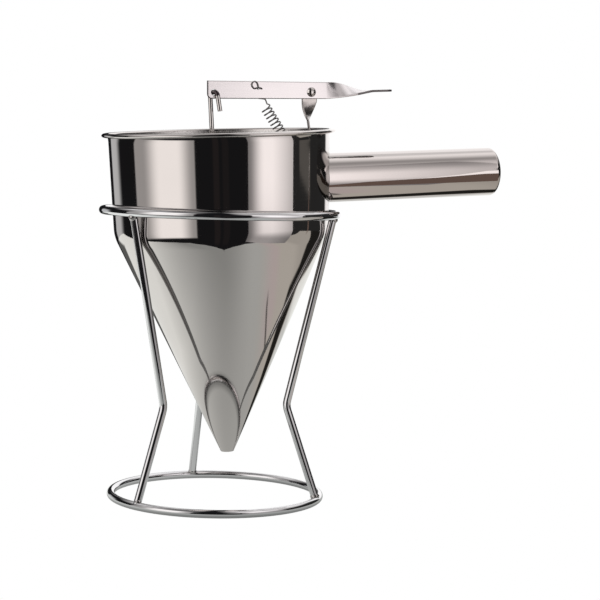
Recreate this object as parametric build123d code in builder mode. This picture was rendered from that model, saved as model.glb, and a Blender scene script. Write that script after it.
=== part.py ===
"""Confectionery funnel: a sheet-metal hopper with a lever-worked stopper, resting in a wire stand.

Millimetres, +Z up. The origin is on the table at the centre of the stand's base ring, and the
handle points along +X.
"""
import os
from math import atan, cos, pi, radians, sin, sqrt, tan

from build123d import *

# Hopper, upright on its own axis, with heights measured from the corner between cup and cone
sheet = 0.8
cup_rim_radius = 70.2
cup_height = 63.9
cup_draft = 1.72
cone_half_angle = 24.4
nozzle_radius = 4.2
shoulder_bend_radius = 26.0
rim_width = 4.9
rim_thickness = 2.8

# Handle on the side of the cup
handle_diameter = 32.0
handle_wall = 1.2
handle_height = 32.9
handle_reach = 191.7
root_weld_reach = 2.0
root_weld_rise = 1.2
cap_thickness = 3.5
cap_edge_radius = 1.2
cap_spigot_length = 8.0
cap_clearance = 0.05

# How the hopper rests in the stand
nozzle_height = 29.5
hopper_lean = 3.39
lean_heading = 200.3
seat_gap = 0.3

# Wire stand
ring_wire = 5.2
leg_wire = 5.0
leg_lean = 12.9
leg_top_inset = 1.0
leg_count = 3
first_leg_heading = -33.7
handle_ring_gap = 4.5
base_ring_radius = 67.0
knee_height = 62.5
knee_bend_radius = 12.0

# Lever bracket inside the cup
bracket_width = 10.4
bracket_thickness = 1.5
bracket_stand_off = 5.76
bracket_drift = 1.0
bracket_foot_rise = 3.6
bracket_foot_length = 11.0
bracket_joggle_drop = 8.0
bracket_bend_radius = 4.0
bracket_plate_shift = 0.7
bracket_twist_length = 12.5
bracket_twist = 71.0
bracket_untwisted_length = 7.5
bracket_lower_twist_length = 10.0
bracket_twist_steps = 15
lever_side_gap = 0.15

# Pivot rivet
rivet_diameter = 3.6
rivet_head_diameter = 6.1
rivet_head_height = 1.7
rivet_tail_diameter = 5.6
rivet_tail_height = 1.0
pivot_clearance = 0.05
pivot_rise = 24.5

# Lever, in its own frame: along the strip from the pivot, and up from the pivot
lever_thickness = 1.5
lever_width = 10.8
lever_end_width = 11.45
lever_drop = 4.3
lever_droop = 1.28
lever_press_angle = 15.0
lever_end_margin = 4.3
lever_end_round = 3.0
lever_twist_start = 10.0
lever_twist_length = 30.5
lever_twist_rise = 4.65
lever_rise_power = 1.6
lever_twist_steps = 10
paddle_width = 14.0
paddle_bend_reach = 2.0
paddle_bend_radius = 15.0
paddle_widen_length = 8.0
paddle_tail_length = 15.1
paddle_tail_rise = 0.45
paddle_tip_radius = 5.0

# Stopper rod and plug
rod_diameter = 3.0
rod_hole_clearance = 0.8
hook_offset = 2.9
hook_drop_from_pivot = 0.26
hook_gap = 0.5
hook_skew = 1.5
hook_slant = 1.6
hook_bend_radius = 2.3
hook_length = 12.0
plug_nozzle_rise = 3.0
plug_seat_height = 7.0
plug_shoulder_height = 5.0
plug_clearance = 0.3
rod_socket_depth = 8.0

# Return spring
spring_wire = 0.8
spring_outside_diameter = 6.0
spring_turns = 18
spring_arm = 36.2
spring_hole_rise = 2.4
spring_hole_clearance = 0.5
spring_lead_shift = 4.8
spring_lead_drop = 12.3
spring_lower_lead = 8.5
spring_anchor_rise = 3.6
spring_hook_length = 3.0
spring_bend_radius = 1.3
spring_samples = 900

# Derived hopper sizes
draft_slope = tan(radians(cup_draft))
cone_slope = tan(radians(cone_half_angle))
wall_run = sheet / cos(radians(cup_draft))
cone_run = sheet / cos(radians(cone_half_angle))
cup_foot_radius = cup_rim_radius - cup_height * draft_slope
cone_height = (cup_foot_radius - nozzle_radius) / cone_slope
inner_corner_height = (cone_run - wall_run) / (cone_slope - draft_slope)


def cup_outside(height):
    """Outer radius of the cup wall."""
    return cup_foot_radius + height * draft_slope


def cup_inside(height):
    """Inner radius of the cup wall."""
    return cup_outside(height) - wall_run


def cone_inside(height):
    """Inner radius of the cone wall, for heights below the corner."""
    return cup_foot_radius + height * cone_slope - cone_run


# The rounded shoulder is an arc about this centre, which touches the wall and the cone
shoulder_tangent = shoulder_bend_radius * tan(radians(cone_half_angle - cup_draft) / 2)
shoulder_start = shoulder_tangent * cos(radians(cup_draft))
shoulder_centre_radius = cup_outside(shoulder_start) - shoulder_bend_radius * cos(radians(cup_draft))
shoulder_centre_height = shoulder_start + shoulder_bend_radius * sin(radians(cup_draft))

# The hopper leans in its stand, and slides a little downhill so that it lies alike on every leg
lean = radians(hopper_lean)
lean_direction = Vector(cos(radians(lean_heading)), sin(radians(lean_heading)), 0)
hopper_up = lean_direction * sin(lean) + Vector(0, 0, cos(lean))
seat_shift = lean_direction * (-tan(radians(leg_lean)) * shoulder_centre_radius * sin(lean))
seat_height = nozzle_height + (cone_height + shoulder_centre_height) * cos(lean)
seat_centre = seat_shift + Vector(0, 0, seat_height)
hopper_along = Vector(hopper_up.Z, 0, -hopper_up.X).normalized()
hopper_plane = Plane(
    seat_centre - hopper_up * shoulder_centre_height, x_dir=hopper_along, z_dir=hopper_up
)
hopper_axis = Axis(hopper_plane.origin, hopper_up)
hopper_back = hopper_plane.y_dir
side_plane = Plane(hopper_plane.origin, x_dir=hopper_along, z_dir=-hopper_back)


def in_hopper(along, back, up):
    """Place of a point that is given in the hopper's own frame."""
    return hopper_plane.from_local_coords((along, back, up))


# Stand: each leg's upper run touches the shoulder, apart from the seat gap
handle_radius = handle_diameter / 2
ring_radius = ring_wire / 2
leg_radius = leg_wire / 2
handle_underside = in_hopper(cup_rim_radius, 0, handle_height - handle_radius)
top_ring_height = handle_underside.Z - handle_ring_gap - ring_radius
seat_distance = shoulder_bend_radius + seat_gap + leg_radius


def leg_line(height):
    """Distance of a leg's upper run from the stand's axis."""
    below = seat_height - height
    return shoulder_centre_radius + (seat_distance - below * sin(radians(leg_lean))) / cos(radians(leg_lean))


top_ring_radius = leg_line(top_ring_height) + leg_top_inset

with BuildPart() as stand_base_ring:
    with BuildSketch(Plane.XZ):
        with Locations((base_ring_radius, ring_radius)):
            Circle(ring_radius)
    revolve(axis=Axis.Z)

with BuildPart() as stand_top_ring:
    with BuildSketch(Plane.XZ):
        with Locations((top_ring_radius, top_ring_height)):
            Circle(ring_radius)
    revolve(axis=Axis.Z)

stand_legs = []
for number in range(leg_count):
    leg_plane = Plane.XZ.rotated((0, 0, first_leg_heading + number * 360 / leg_count))
    leg_foot = (base_ring_radius, ring_radius)
    leg_knee = (leg_line(knee_height), knee_height)
    leg_top = (leg_line(top_ring_height), top_ring_height)
    with BuildPart() as stand_leg:
        with BuildLine(leg_plane) as leg_path:
            FilletPolyline(leg_foot, leg_knee, leg_top, radius=knee_bend_radius)
        with BuildSketch(Plane(leg_path.line @ 0, z_dir=leg_path.line % 0)):
            Circle(leg_radius)
        sweep(path=leg_path.wires()[0])
        add(stand_base_ring.part, mode=Mode.SUBTRACT)
        add(stand_top_ring.part, mode=Mode.SUBTRACT)
    stand_legs.append(stand_leg)

# Hopper shell, turned about its own axis
rim_centre = (cup_inside(cup_height) + rim_width / 2, cup_height)
with BuildPart() as hopper:
    with BuildSketch(side_plane):
        with BuildLine():
            outside = FilletPolyline(
                (nozzle_radius, -cone_height),
                (cup_foot_radius, 0),
                (cup_rim_radius, cup_height),
                radius=shoulder_bend_radius,
            )
            inside = FilletPolyline(
                (cup_inside(cup_height), cup_height),
                (cup_inside(inner_corner_height), inner_corner_height),
                (cone_inside(-cone_height), -cone_height),
                radius=shoulder_bend_radius - sheet,
            )
            Line(outside @ 1, inside @ 0)
            Line(inside @ 1, outside @ 0)
        make_face()
        with Locations(rim_centre):
            Ellipse(rim_width / 2, rim_thickness / 2)
    revolve(axis=hopper_axis)

# Handle tube, coped to the cup and thickened by the weld at its root, and its end cap
handle_plane = Plane(in_hopper(0, 0, handle_height), x_dir=hopper_back, z_dir=hopper_along)
handle_axis = Axis(handle_plane.origin, hopper_along)
handle_bore_radius = handle_radius - handle_wall
tube_end = handle_reach - cap_thickness
cap_plane = handle_plane.offset(tube_end)
weld_start = cup_outside(handle_height + handle_radius)
weld_end = weld_start + root_weld_reach
with BuildPart() as handle_tube:
    with BuildSketch(side_plane):
        with BuildLine():
            Polyline(
                (0, handle_height + handle_bore_radius),
                (tube_end, handle_height + handle_bore_radius),
                (tube_end, handle_height + handle_radius),
                (weld_end, handle_height + handle_radius),
                (weld_start, handle_height + handle_radius + root_weld_rise),
                (0, handle_height + handle_radius + root_weld_rise),
                close=True,
            )
        make_face()
    revolve(axis=handle_axis)
    cope_bottom = handle_height - handle_diameter
    cope_top = handle_height + handle_diameter
    with BuildSketch(side_plane):
        with BuildLine():
            Polyline(
                (0, cope_bottom),
                (cup_outside(cope_bottom), cope_bottom),
                (cup_outside(cope_top), cope_top),
                (0, cope_top),
                close=True,
            )
        make_face()
    revolve(axis=hopper_axis, mode=Mode.SUBTRACT)

with BuildPart() as handle_end_cap:
    with BuildSketch(cap_plane):
        Circle(handle_radius)
    extrude(amount=cap_thickness)
    cap_faces = handle_end_cap.faces().sort_by(Axis(cap_plane.origin, cap_plane.z_dir))
    fillet(cap_faces[-1].edges(), radius=cap_edge_radius)
    with BuildSketch(cap_plane):
        Circle(handle_bore_radius - cap_clearance)
    extrude(amount=-cap_spigot_length)

# Lever bracket: foot on the wall, joggle, straight stretch with the spring's hole, two twists, pivot plate
bracket_half = bracket_thickness / 2
foot_bottom = shoulder_start + bracket_foot_rise
foot_top = foot_bottom + bracket_foot_length
joggle_top = foot_top + bracket_joggle_drop
bracket_along = cup_inside(joggle_top) - bracket_stand_off - bracket_half
pivot_along = bracket_along + bracket_drift
plate_along = pivot_along - bracket_plate_shift
pivot_up = cup_height + pivot_rise
lever_half = lever_thickness / 2
plate_back = lever_half + lever_side_gap + bracket_half
press_room = bracket_width / 2 * sin(radians(lever_press_angle))
twist_top = pivot_up - lever_drop - press_room - 2 * lever_side_gap
lower_twist_start = bracket_twist_length + bracket_untwisted_length
twist_height = lower_twist_start + bracket_lower_twist_length
twist_bottom = twist_top - twist_height
spring_anchor = joggle_top + spring_anchor_rise
bracket_hole = in_hopper(bracket_along, 0, spring_anchor)
spring_radius = spring_wire / 2
rivet_radius = rivet_diameter / 2


def foot_along(height):
    """Middle of the bracket's foot, which touches the round wall along its two edges."""
    return sqrt(cup_inside(height) ** 2 - (bracket_width / 2) ** 2) - bracket_half


with BuildPart() as lever_bracket:
    with BuildSketch(side_plane):
        with BuildLine():
            FilletPolyline(
                (foot_along(foot_bottom), foot_bottom),
                (foot_along(foot_top), foot_top),
                (bracket_along, joggle_top),
                (bracket_along, twist_bottom),
                radius=bracket_bend_radius,
            )
        trace(line_width=bracket_thickness)
    extrude(amount=bracket_width / 2, both=True)
    for step in range(bracket_twist_steps + 1):
        share = step / bracket_twist_steps
        drop = twist_height * share
        upper_share = min(1, drop / bracket_twist_length)
        lower_share = max(0, (drop - lower_twist_start) / bracket_lower_twist_length)
        turn = radians(bracket_twist) * upper_share + radians(90 - bracket_twist) * lower_share
        middle = plate_along + (bracket_along - plate_along) * share
        section = Plane(
            in_hopper(middle, plate_back * (1 - share), twist_top - drop),
            x_dir=hopper_along * cos(turn) + hopper_back * sin(turn),
            z_dir=hopper_up,
        )
        with BuildSketch(section):
            Rectangle(bracket_width, bracket_thickness)
    loft()
    with BuildSketch(side_plane.offset(-plate_back)):
        with Locations((plate_along, pivot_up)):
            Circle(bracket_width / 2)
        with Locations((plate_along, twist_top)):
            Rectangle(bracket_width, pivot_up - twist_top, align=(Align.CENTER, Align.MIN))
        with Locations((pivot_along, pivot_up)):
            Circle(rivet_radius, mode=Mode.SUBTRACT)
    extrude(amount=bracket_half, both=True)
    with BuildSketch(Plane(bracket_hole, x_dir=hopper_back, z_dir=hopper_along)):
        Circle(spring_radius + spring_hole_clearance)
    extrude(amount=bracket_thickness, both=True, mode=Mode.SUBTRACT)

# Pivot rivet, with a domed head in front of the lever and a flat tail behind the bracket
head_seat = lever_half + lever_side_gap
tail_seat = plate_back + bracket_half
head_radius = rivet_head_diameter / 2
tail_radius = rivet_tail_diameter / 2
dome_radius = (head_radius**2 + rivet_head_height**2) / (2 * rivet_head_height)
pivot_point = in_hopper(pivot_along, 0, pivot_up)
rivet_plane = Plane(pivot_point, x_dir=hopper_along, z_dir=hopper_up)
with BuildPart() as pivot_rivet:
    with BuildSketch(rivet_plane):
        with BuildLine():
            Line((0, -head_seat - rivet_head_height), (0, tail_seat + rivet_tail_height))
            tail = Polyline(
                (0, tail_seat + rivet_tail_height),
                (tail_radius, tail_seat + rivet_tail_height),
                (tail_radius, tail_seat),
                (rivet_radius, tail_seat),
                (rivet_radius, -head_seat),
                (head_radius, -head_seat),
            )
            RadiusArc(tail @ 1, (0, -head_seat - rivet_head_height), radius=dome_radius)
        make_face()
    revolve(axis=Axis(pivot_point, hopper_back))

# Lever, in a plane through the hopper's axis that droops towards the paddle
droop = radians(lever_droop)
lever_along = hopper_along * cos(droop) - hopper_up * sin(droop)
lever_plane = Plane(pivot_point, x_dir=lever_along, z_dir=-hopper_back)
lever_up = lever_plane.y_dir
hook_along = -(pivot_along + hook_offset) / cos(droop)
hook_up = -hook_drop_from_pivot
rod_radius = rod_diameter / 2
strip_left = hook_along - lever_end_margin
paddle_start = lever_twist_start + lever_twist_length
paddle_low = lever_twist_rise - lever_drop
paddle_bend = paddle_start + paddle_bend_reach
paddle_bend_level = paddle_low + paddle_bend_reach * lever_twist_rise * lever_rise_power / lever_twist_length
paddle_widest = paddle_start + paddle_widen_length
paddle_end = paddle_bend + paddle_tail_length
paddle_front = (lever_width - paddle_width) / 2
paddle_rear = (lever_width + paddle_width) / 2


def on_lever(along, up, back=0):
    """Place of a point that is given along the lever, up from its pivot and behind its middle."""
    return lever_plane.from_local_coords((along, up, -back))


with BuildPart() as lever_paddle:
    with BuildSketch(lever_plane):
        with BuildLine():
            FilletPolyline(
                (paddle_start, paddle_low),
                (paddle_bend, paddle_bend_level),
                (paddle_end, paddle_bend_level + paddle_tail_rise),
                radius=paddle_bend_radius,
            )
        trace(line_width=lever_thickness)
    extrude(amount=lever_width + paddle_width, both=True)
    with BuildSketch(Plane(pivot_point, x_dir=lever_along, z_dir=lever_up)):
        with BuildLine():
            Polyline(
                (paddle_start - lever_thickness, 0),
                (paddle_start, 0),
                (paddle_widest, paddle_front),
                (paddle_end, paddle_front),
                (paddle_end, paddle_rear),
                (paddle_widest, paddle_rear),
                (paddle_start, lever_width),
                (paddle_start - lever_thickness, lever_width),
                close=True,
            )
        outline = make_face()
        fillet(outline.vertices().group_by(Axis.X)[-1], radius=paddle_tip_radius)
    extrude(amount=lever_width, both=True, mode=Mode.INTERSECT)

with BuildPart() as lever:
    with BuildSketch(lever_plane):
        with BuildLine():
            Polyline(
                (lever_twist_start, -lever_drop),
                (lever_twist_start, lever_width - lever_drop),
                (strip_left, lever_end_width - lever_drop),
                (strip_left, -lever_drop),
                close=True,
            )
        strip = make_face()
        fillet(strip.vertices().group_by(Axis.X)[0].sort_by(Axis.Y)[0], radius=lever_end_round)
        with Locations((0, 0)):
            Circle(rivet_radius + pivot_clearance, mode=Mode.SUBTRACT)
        with Locations((hook_along, hook_up)):
            Circle(rod_radius + rod_hole_clearance, mode=Mode.SUBTRACT)
        with Locations((-spring_arm, spring_hole_rise)):
            Circle(spring_radius + spring_hole_clearance, mode=Mode.SUBTRACT)
    extrude(amount=lever_half, both=True)
    for step in range(lever_twist_steps + 1):
        share = step / lever_twist_steps
        turn = radians(90) * share
        rise = lever_twist_rise * share**lever_rise_power
        slope = atan(lever_twist_rise * lever_rise_power * share ** (lever_rise_power - 1) / lever_twist_length)
        forward = lever_along * cos(slope) + lever_up * sin(slope)
        upright = lever_up * cos(slope) - lever_along * sin(slope)
        across = upright * cos(turn) + hopper_back * sin(turn)
        lower_edge = on_lever(lever_twist_start + lever_twist_length * share, rise - lever_drop)
        with BuildSketch(Plane(lower_edge + across * (lever_width / 2), x_dir=across, z_dir=forward)):
            Rectangle(lever_width, lever_thickness)
    loft()
    add(lever_paddle.part)

# Stopper rod: up behind the lever, through its hole and down again in front
hook_reach = lever_half + hook_gap + rod_radius
hook_height = pivot_up - hook_along * sin(droop) + hook_up * cos(droop)
plug_bottom = -cone_height + plug_nozzle_rise
plug_seat_top = plug_bottom + plug_seat_height
plug_top = plug_seat_top + plug_shoulder_height
plug_play = plug_clearance / cos(radians(cone_half_angle))
with BuildPart() as stopper_rod:
    with BuildLine() as rod_path:
        FilletPolyline(
            in_hopper(0, 0, plug_top - rod_socket_depth),
            in_hopper(-hook_offset - hook_skew, hook_reach, hook_height),
            in_hopper(-hook_offset + hook_skew, -hook_reach, hook_height),
            in_hopper(-hook_offset + hook_skew + hook_slant, -hook_reach, hook_height - hook_length),
            radius=hook_bend_radius,
        )
    with BuildSketch(Plane(rod_path.line @ 0, z_dir=rod_path.line % 0)):
        Circle(rod_radius)
    sweep(path=rod_path.wires()[0])

with BuildPart() as stopper_plug:
    with BuildSketch(side_plane):
        with BuildLine():
            Polyline(
                (0, plug_bottom),
                (cone_inside(plug_bottom) - plug_play, plug_bottom),
                (cone_inside(plug_seat_top) - plug_play, plug_seat_top),
                (rod_diameter, plug_top),
                (0, plug_top),
                close=True,
            )
        make_face()
    revolve(axis=hopper_axis)
    add(stopper_rod.part, mode=Mode.SUBTRACT)

# Return spring: a hook in the bracket's hole, the coil, and a lead up behind the lever to a hook in its hole
coil_radius = (spring_outside_diameter - spring_wire) / 2
lever_hole = on_lever(-spring_arm, spring_hole_rise)
coil_top = lever_hole + hopper_along * spring_lead_shift - hopper_up * spring_lead_drop
coil_down = (bracket_hole - coil_top).normalized()
coil_bottom = bracket_hole - coil_down * spring_lower_lead
coil_length = (coil_bottom - coil_top).length
coil_side = hopper_back.cross(coil_down).normalized()
coil_pitch = coil_length / spring_turns
half_turns = 2 * spring_turns


def coil_point(quarter_turns):
    """Place on the coil, counted in quarter turns from its lower end."""
    angle = quarter_turns * pi / 2
    climb = coil_pitch * quarter_turns / 4
    return coil_bottom - coil_down * climb + coil_side * (coil_radius * cos(angle)) + hopper_back * (
        coil_radius * sin(angle)
    )


def coil_heading(quarter_turns):
    """Direction of the wire on the coil."""
    angle = quarter_turns * pi / 2
    around = hopper_back * cos(angle) - coil_side * sin(angle)
    return (around * (2 * pi * coil_radius) - coil_down * coil_pitch).normalized()


def biarc(start, start_heading, end, end_heading):
    """Two arcs that leave start along its heading and reach end along its heading."""
    chord = end - start
    headings = start_heading + end_heading
    spread = 2 * (1 - start_heading.dot(end_heading))
    straight = chord.dot(headings)
    reach = (sqrt(straight**2 + spread * chord.dot(chord)) - straight) / spread
    first = start + start_heading * reach
    last = end - end_heading * reach
    middle = (first + last) * 0.5
    TangentArc(start, middle, tangent=start_heading)
    TangentArc(middle, end, tangent=last - first)


bracket_side = bracket_half + spring_bend_radius
lever_side = lever_half + spring_bend_radius
lower_bend = bracket_hole + hopper_along * bracket_side - hopper_up * spring_bend_radius
upper_bend = lever_hole + hopper_back * lever_side - hopper_up * spring_bend_radius
front_bend = lever_hole - hopper_back * lever_side - hopper_up * spring_bend_radius
hook_run = spring_hook_length - spring_bend_radius
with BuildPart() as return_spring:
    with BuildLine() as spring_path:
        Line(lower_bend - hopper_up * hook_run, lower_bend)
        biarc(lower_bend, hopper_up, bracket_hole, -hopper_along)
        biarc(bracket_hole, -hopper_along, coil_point(0), coil_heading(0))
        for half in range(half_turns):
            start = 2 * half
            biarc(coil_point(start), coil_heading(start), coil_point(start + 2), coil_heading(start + 2))
        biarc(coil_point(2 * half_turns), coil_heading(2 * half_turns), upper_bend, hopper_up)
        biarc(upper_bend, hopper_up, lever_hole, -hopper_back)
        biarc(lever_hole, -hopper_back, front_bend, -hopper_up)
        Line(front_bend, front_bend - hopper_up * hook_run)
    with BuildSketch(Plane(spring_path.line @ 0, z_dir=spring_path.line % 0)):
        Circle(spring_radius)
    sweep(path=spring_path.wires()[0])

# The spring's wire may not touch itself: points further apart along the wire than half a turn are compared
wire_length = spring_path.wires()[0].length
wire_shares = [number / spring_samples for number in range(spring_samples + 1)]
wire_points = spring_path.wires()[0].positions(wire_shares)
points_apart = int(spring_samples * pi * coil_radius / wire_length)
least_gap = min(
    (wire_points[one] - wire_points[other]).length
    for one in range(len(wire_points))
    for other in range(one + points_apart, len(wire_points))
)
print(f"spring wire: length {wire_length:.1f}, least gap to itself {least_gap - spring_wire:.2f}")
swept_volume = pi * spring_radius**2 * wire_length
print(f"spring volume {return_spring.part.volume:.2f}, section x length {swept_volume:.2f}")

# One file for each piece
os.makedirs("parts", exist_ok=True)
pieces = {
    "stand_base_ring": stand_base_ring,
    "stand_top_ring": stand_top_ring,
    "hopper": hopper,
    "handle_tube": handle_tube,
    "handle_end_cap": handle_end_cap,
    "lever_bracket": lever_bracket,
    "pivot_rivet": pivot_rivet,
    "lever": lever,
    "stopper_rod": stopper_rod,
    "stopper_plug": stopper_plug,
    "return_spring": return_spring,
}
for number, stand_leg in enumerate(stand_legs, start=1):
    pieces[f"stand_leg_{number}"] = stand_leg
for name, piece in pieces.items():
    piece.part.label = name
    export_step(piece.part, f"parts/{name}.step")
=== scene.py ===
"""Looks of a confectionery funnel that rests in its wire stand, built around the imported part.

Sizes are in millimetres, in the part's own frame, and are turned into metres where a mesh is made.
"""
from math import acos, asin, atan, atan2, cos, exp, pi, radians, sin, sqrt, tan

import bmesh
import bpy
from mathutils import Matrix, Vector


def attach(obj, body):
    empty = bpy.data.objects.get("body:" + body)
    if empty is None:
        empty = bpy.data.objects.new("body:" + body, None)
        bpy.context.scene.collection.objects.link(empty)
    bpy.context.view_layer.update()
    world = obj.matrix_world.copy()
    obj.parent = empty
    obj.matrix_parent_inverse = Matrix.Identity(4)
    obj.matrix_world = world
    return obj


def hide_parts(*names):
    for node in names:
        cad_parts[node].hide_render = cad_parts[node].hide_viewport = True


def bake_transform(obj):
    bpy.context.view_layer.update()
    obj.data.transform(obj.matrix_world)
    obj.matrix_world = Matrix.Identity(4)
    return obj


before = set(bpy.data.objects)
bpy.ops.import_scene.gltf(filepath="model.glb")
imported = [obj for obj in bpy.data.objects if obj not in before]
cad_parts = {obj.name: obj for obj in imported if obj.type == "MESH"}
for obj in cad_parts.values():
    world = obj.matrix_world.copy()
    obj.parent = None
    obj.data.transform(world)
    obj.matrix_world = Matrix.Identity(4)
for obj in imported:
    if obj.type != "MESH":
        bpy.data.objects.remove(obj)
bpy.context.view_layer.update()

scene = bpy.context.scene
MM = 0.001

# Hopper
sheet = 0.8
cup_rim_radius = 70.2
cup_height = 63.9
cup_draft = radians(1.72)
cone_half_angle = radians(24.4)
nozzle_radius = 4.2
shoulder_bend_radius = 26.0
rim_width = 4.9
rim_thickness = 2.8
rim_flare = 0.38
rim_flare_height = 3.6
rim_join_drop = 1.013
satin_margin = 0.5
nozzle_height = 29.5
hopper_lean = radians(3.39)
lean_heading = radians(200.3)

# Handle
handle_radius = 16.0
handle_wall = 1.2
handle_height = 32.9
handle_reach = 191.7
cap_thickness = 3.5
cap_edge_radius = 3.3
cap_spigot_length = 8.0
cap_spigot_play = 0.05
cap_face_margin = 0.6
cap_face_normal = 0.97
root_fillet_out = 1.6
root_fillet_along = 0.9
root_fillet_wander = 0.12
root_fillet_sunk = 0.1
root_fillet_buried = 0.4
# Painted shade: a dark, duller ring on the bowl round the handle's root, for the handle's dark reflection
# there
root_shade_start = 2.0
root_shade_reach = 30.0
root_shade_along = (40.0, 50.0)
root_shade_dulling = 0.32
root_shade_darkening = 0.8

# Stand
ring_wire = 5.2
leg_wire = 5.0
leg_lean = radians(12.9)
leg_top_inset = 1.0
leg_count = 3
first_leg_heading = radians(-33.7)
seat_gap = 0.3
handle_ring_gap = 4.5
base_ring_radius = 67.0
knee_height = 62.5
knee_bend_radius = 12.0
foot_weld_rise = 2.4
foot_weld_inset = 0.9
top_weld_offset = 0.2
top_weld_drop = 2.6
weld_bead_radius = 2.75
weld_bead_lumps = 0.9
weld_lumps_per_metre = 420.0
weld_bead_least = (0.85, 0.85, 0.8)
weld_bead_most = (1.1, 1.1, 1.05)
weld_bead_seed = 4

# Lever, bracket and rivet
strip_thickness = 1.5
strip_edge_round = 0.55
hole_edge_break = 0.1
cutter_reach = 2.0
bracket_width = 10.4
bracket_stand_off = 5.76
bracket_drift = 1.0
bracket_foot_rise = 3.6
bracket_foot_length = 11.0
bracket_joggle_drop = 8.0
bracket_bend_radius = 4.0
bracket_plate_shift = 0.7
bracket_twist_length = 12.5
bracket_twist = radians(71)
bracket_untwisted_length = 7.5
bracket_lower_twist_length = 10.0
bracket_bow = 1.3
bracket_bow_share = 0.7
lever_side_gap = 0.15
rivet_radius = 1.8
rivet_head_radius = 3.05
rivet_head_height = 1.7
rivet_tail_radius = 2.8
rivet_tail_height = 1.0
rivet_tail_round = 0.4
rivet_hole_play = 0.05
pivot_rise = 24.5
lever_width = 10.8
lever_end_width = 11.45
lever_drop = 4.3
lever_droop = radians(1.28)
lever_press = radians(15)
lever_end_margin = 4.3
lever_end_round = 3.0
lever_twist_start = 10.0
lever_twist_length = 30.5
lever_twist_rise = 4.65
lever_rise_power = 1.6
lever_twist_ease = 0.08
paddle_edge_share = 0.75
paddle_width = 14.0
paddle_bend_reach = 2.0
paddle_bend_radius = 15.0
paddle_widen_length = 8.0
paddle_tail_length = 15.1
paddle_tail_rise = 0.45
paddle_tip_radius = 5.0

# Stopper rod and plug
rod_diameter = 3.0
hook_offset = 2.9
hook_drop = 0.26
hook_gap = 0.5
hook_skew = 1.5
hook_slant = 1.6
hook_bend_radius = 2.3
hook_length = 12.0
hook_hole_radius = 1.9
# Depth below the hook's top down to which its bend gets painted shade
hook_shade_drop = 3.8
plug_nozzle_rise = 3.0
plug_seat_height = 7.0
plug_shoulder_height = 5.0
plug_clearance = 0.3
rod_socket_depth = 8.0

# Return spring
spring_wire = 0.9
spring_outside = 7.3
spring_turns = 18.5
spring_arm = 36.2
spring_hole_rise = 2.4
spring_hole_radius = 0.9
spring_lead_shift = 4.8
spring_lead_drop = 12.3
spring_lower_lead = 8.5
spring_anchor_rise = 3.6
spring_hook_length = 2.6
spring_hook_bend = 0.7

# Fineness of meshes and finishes
outline_step = 2.5
around_bowl = 256
around_handle = 192
around_small = 96
around_hole = 48
around_ring = 288
around_wire = 40
around_spring = 12
wire_bend_steps = 24
bead_subdivisions = 5
tube_steps = 48
flare_steps = 12
shoulder_steps = 24
rim_steps = 36
cap_edge_steps = 10
cap_face_step = 3.0
fillet_steps = 14
lever_corner_steps = 12
lever_flat_steps = 16
paddle_step = 0.4
paddle_bend_steps = 16
bracket_step = 1.5
bracket_bend_steps = 12
plate_steps = 4
round_end_steps = 24
twist_steps = 64
strip_edge_steps = 4
fullest_corner = 0.98
support_reach = 1.6
support_limit = 0.99
least_corner = 0.03
# Normals that pick the lever's edge faces which get painted shade
shaded_edge_normal = 0.5
shaded_end_normal = 0.4
dome_steps = 20
tail_steps = 6
plug_step = 1.0
steps_per_turn = 12
smoothing_steps = 3
on_axis = 1e-6
grain_depth = 0.02

# Sizes that follow from these
cup_foot_radius = cup_rim_radius - cup_height * tan(cup_draft)
cone_height = (cup_foot_radius - nozzle_radius) / tan(cone_half_angle)
wall_run = sheet / cos(cup_draft)
cone_run = sheet / cos(cone_half_angle)
shoulder_start = shoulder_bend_radius * tan((cone_half_angle - cup_draft) / 2) * cos(cup_draft)


def cup_outside(height):
    """Outer radius of the cup's wall."""
    return cup_foot_radius + height * tan(cup_draft)


def cup_inside(height):
    """Inner radius of the cup's wall."""
    return cup_outside(height) - wall_run


def cone_inside(height):
    """Inner radius of the cone."""
    return cup_foot_radius + height * tan(cone_half_angle) - cone_run


shoulder_radius = cup_outside(shoulder_start) - shoulder_bend_radius * cos(cup_draft)
shoulder_height = shoulder_start + shoulder_bend_radius * sin(cup_draft)
downhill = Vector((cos(lean_heading), sin(lean_heading), 0))
hopper_up = downhill * sin(hopper_lean) + Vector((0, 0, cos(hopper_lean)))
seat_height = nozzle_height + (cone_height + shoulder_height) * cos(hopper_lean)
seat_centre = downhill * (-tan(leg_lean) * shoulder_radius * sin(hopper_lean))
seat_centre.z = seat_height
hopper_origin = seat_centre - hopper_up * shoulder_height
hopper_along = Vector((hopper_up.z, 0, -hopper_up.x)).normalized()
hopper_back = hopper_up.cross(hopper_along)


def placed(origin, across, back, up):
    """Matrix of a frame that is given by its origin and its three directions."""
    turn = Matrix((across, back, up)).transposed().to_4x4()
    return Matrix.Translation(origin) @ turn


hopper_place = placed(hopper_origin, hopper_along, hopper_back, hopper_up)


def in_hopper(along, back, up):
    """Place of a point that is given in the hopper's frame."""
    return hopper_place @ Vector((along, back, up))


handle_axis_start = in_hopper(0, 0, handle_height)
handle_place = placed(handle_axis_start, hopper_back, hopper_up, hopper_along)
under_handle = in_hopper(cup_rim_radius, 0, handle_height - handle_radius)
top_ring_height = under_handle.z - handle_ring_gap - ring_wire / 2
seat_distance = shoulder_bend_radius + seat_gap + leg_wire / 2


def leg_line(height):
    """Distance of a leg's upper run from the stand's axis."""
    drop = (seat_height - height) * sin(leg_lean)
    return shoulder_radius + (seat_distance - drop) / cos(leg_lean)


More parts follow.
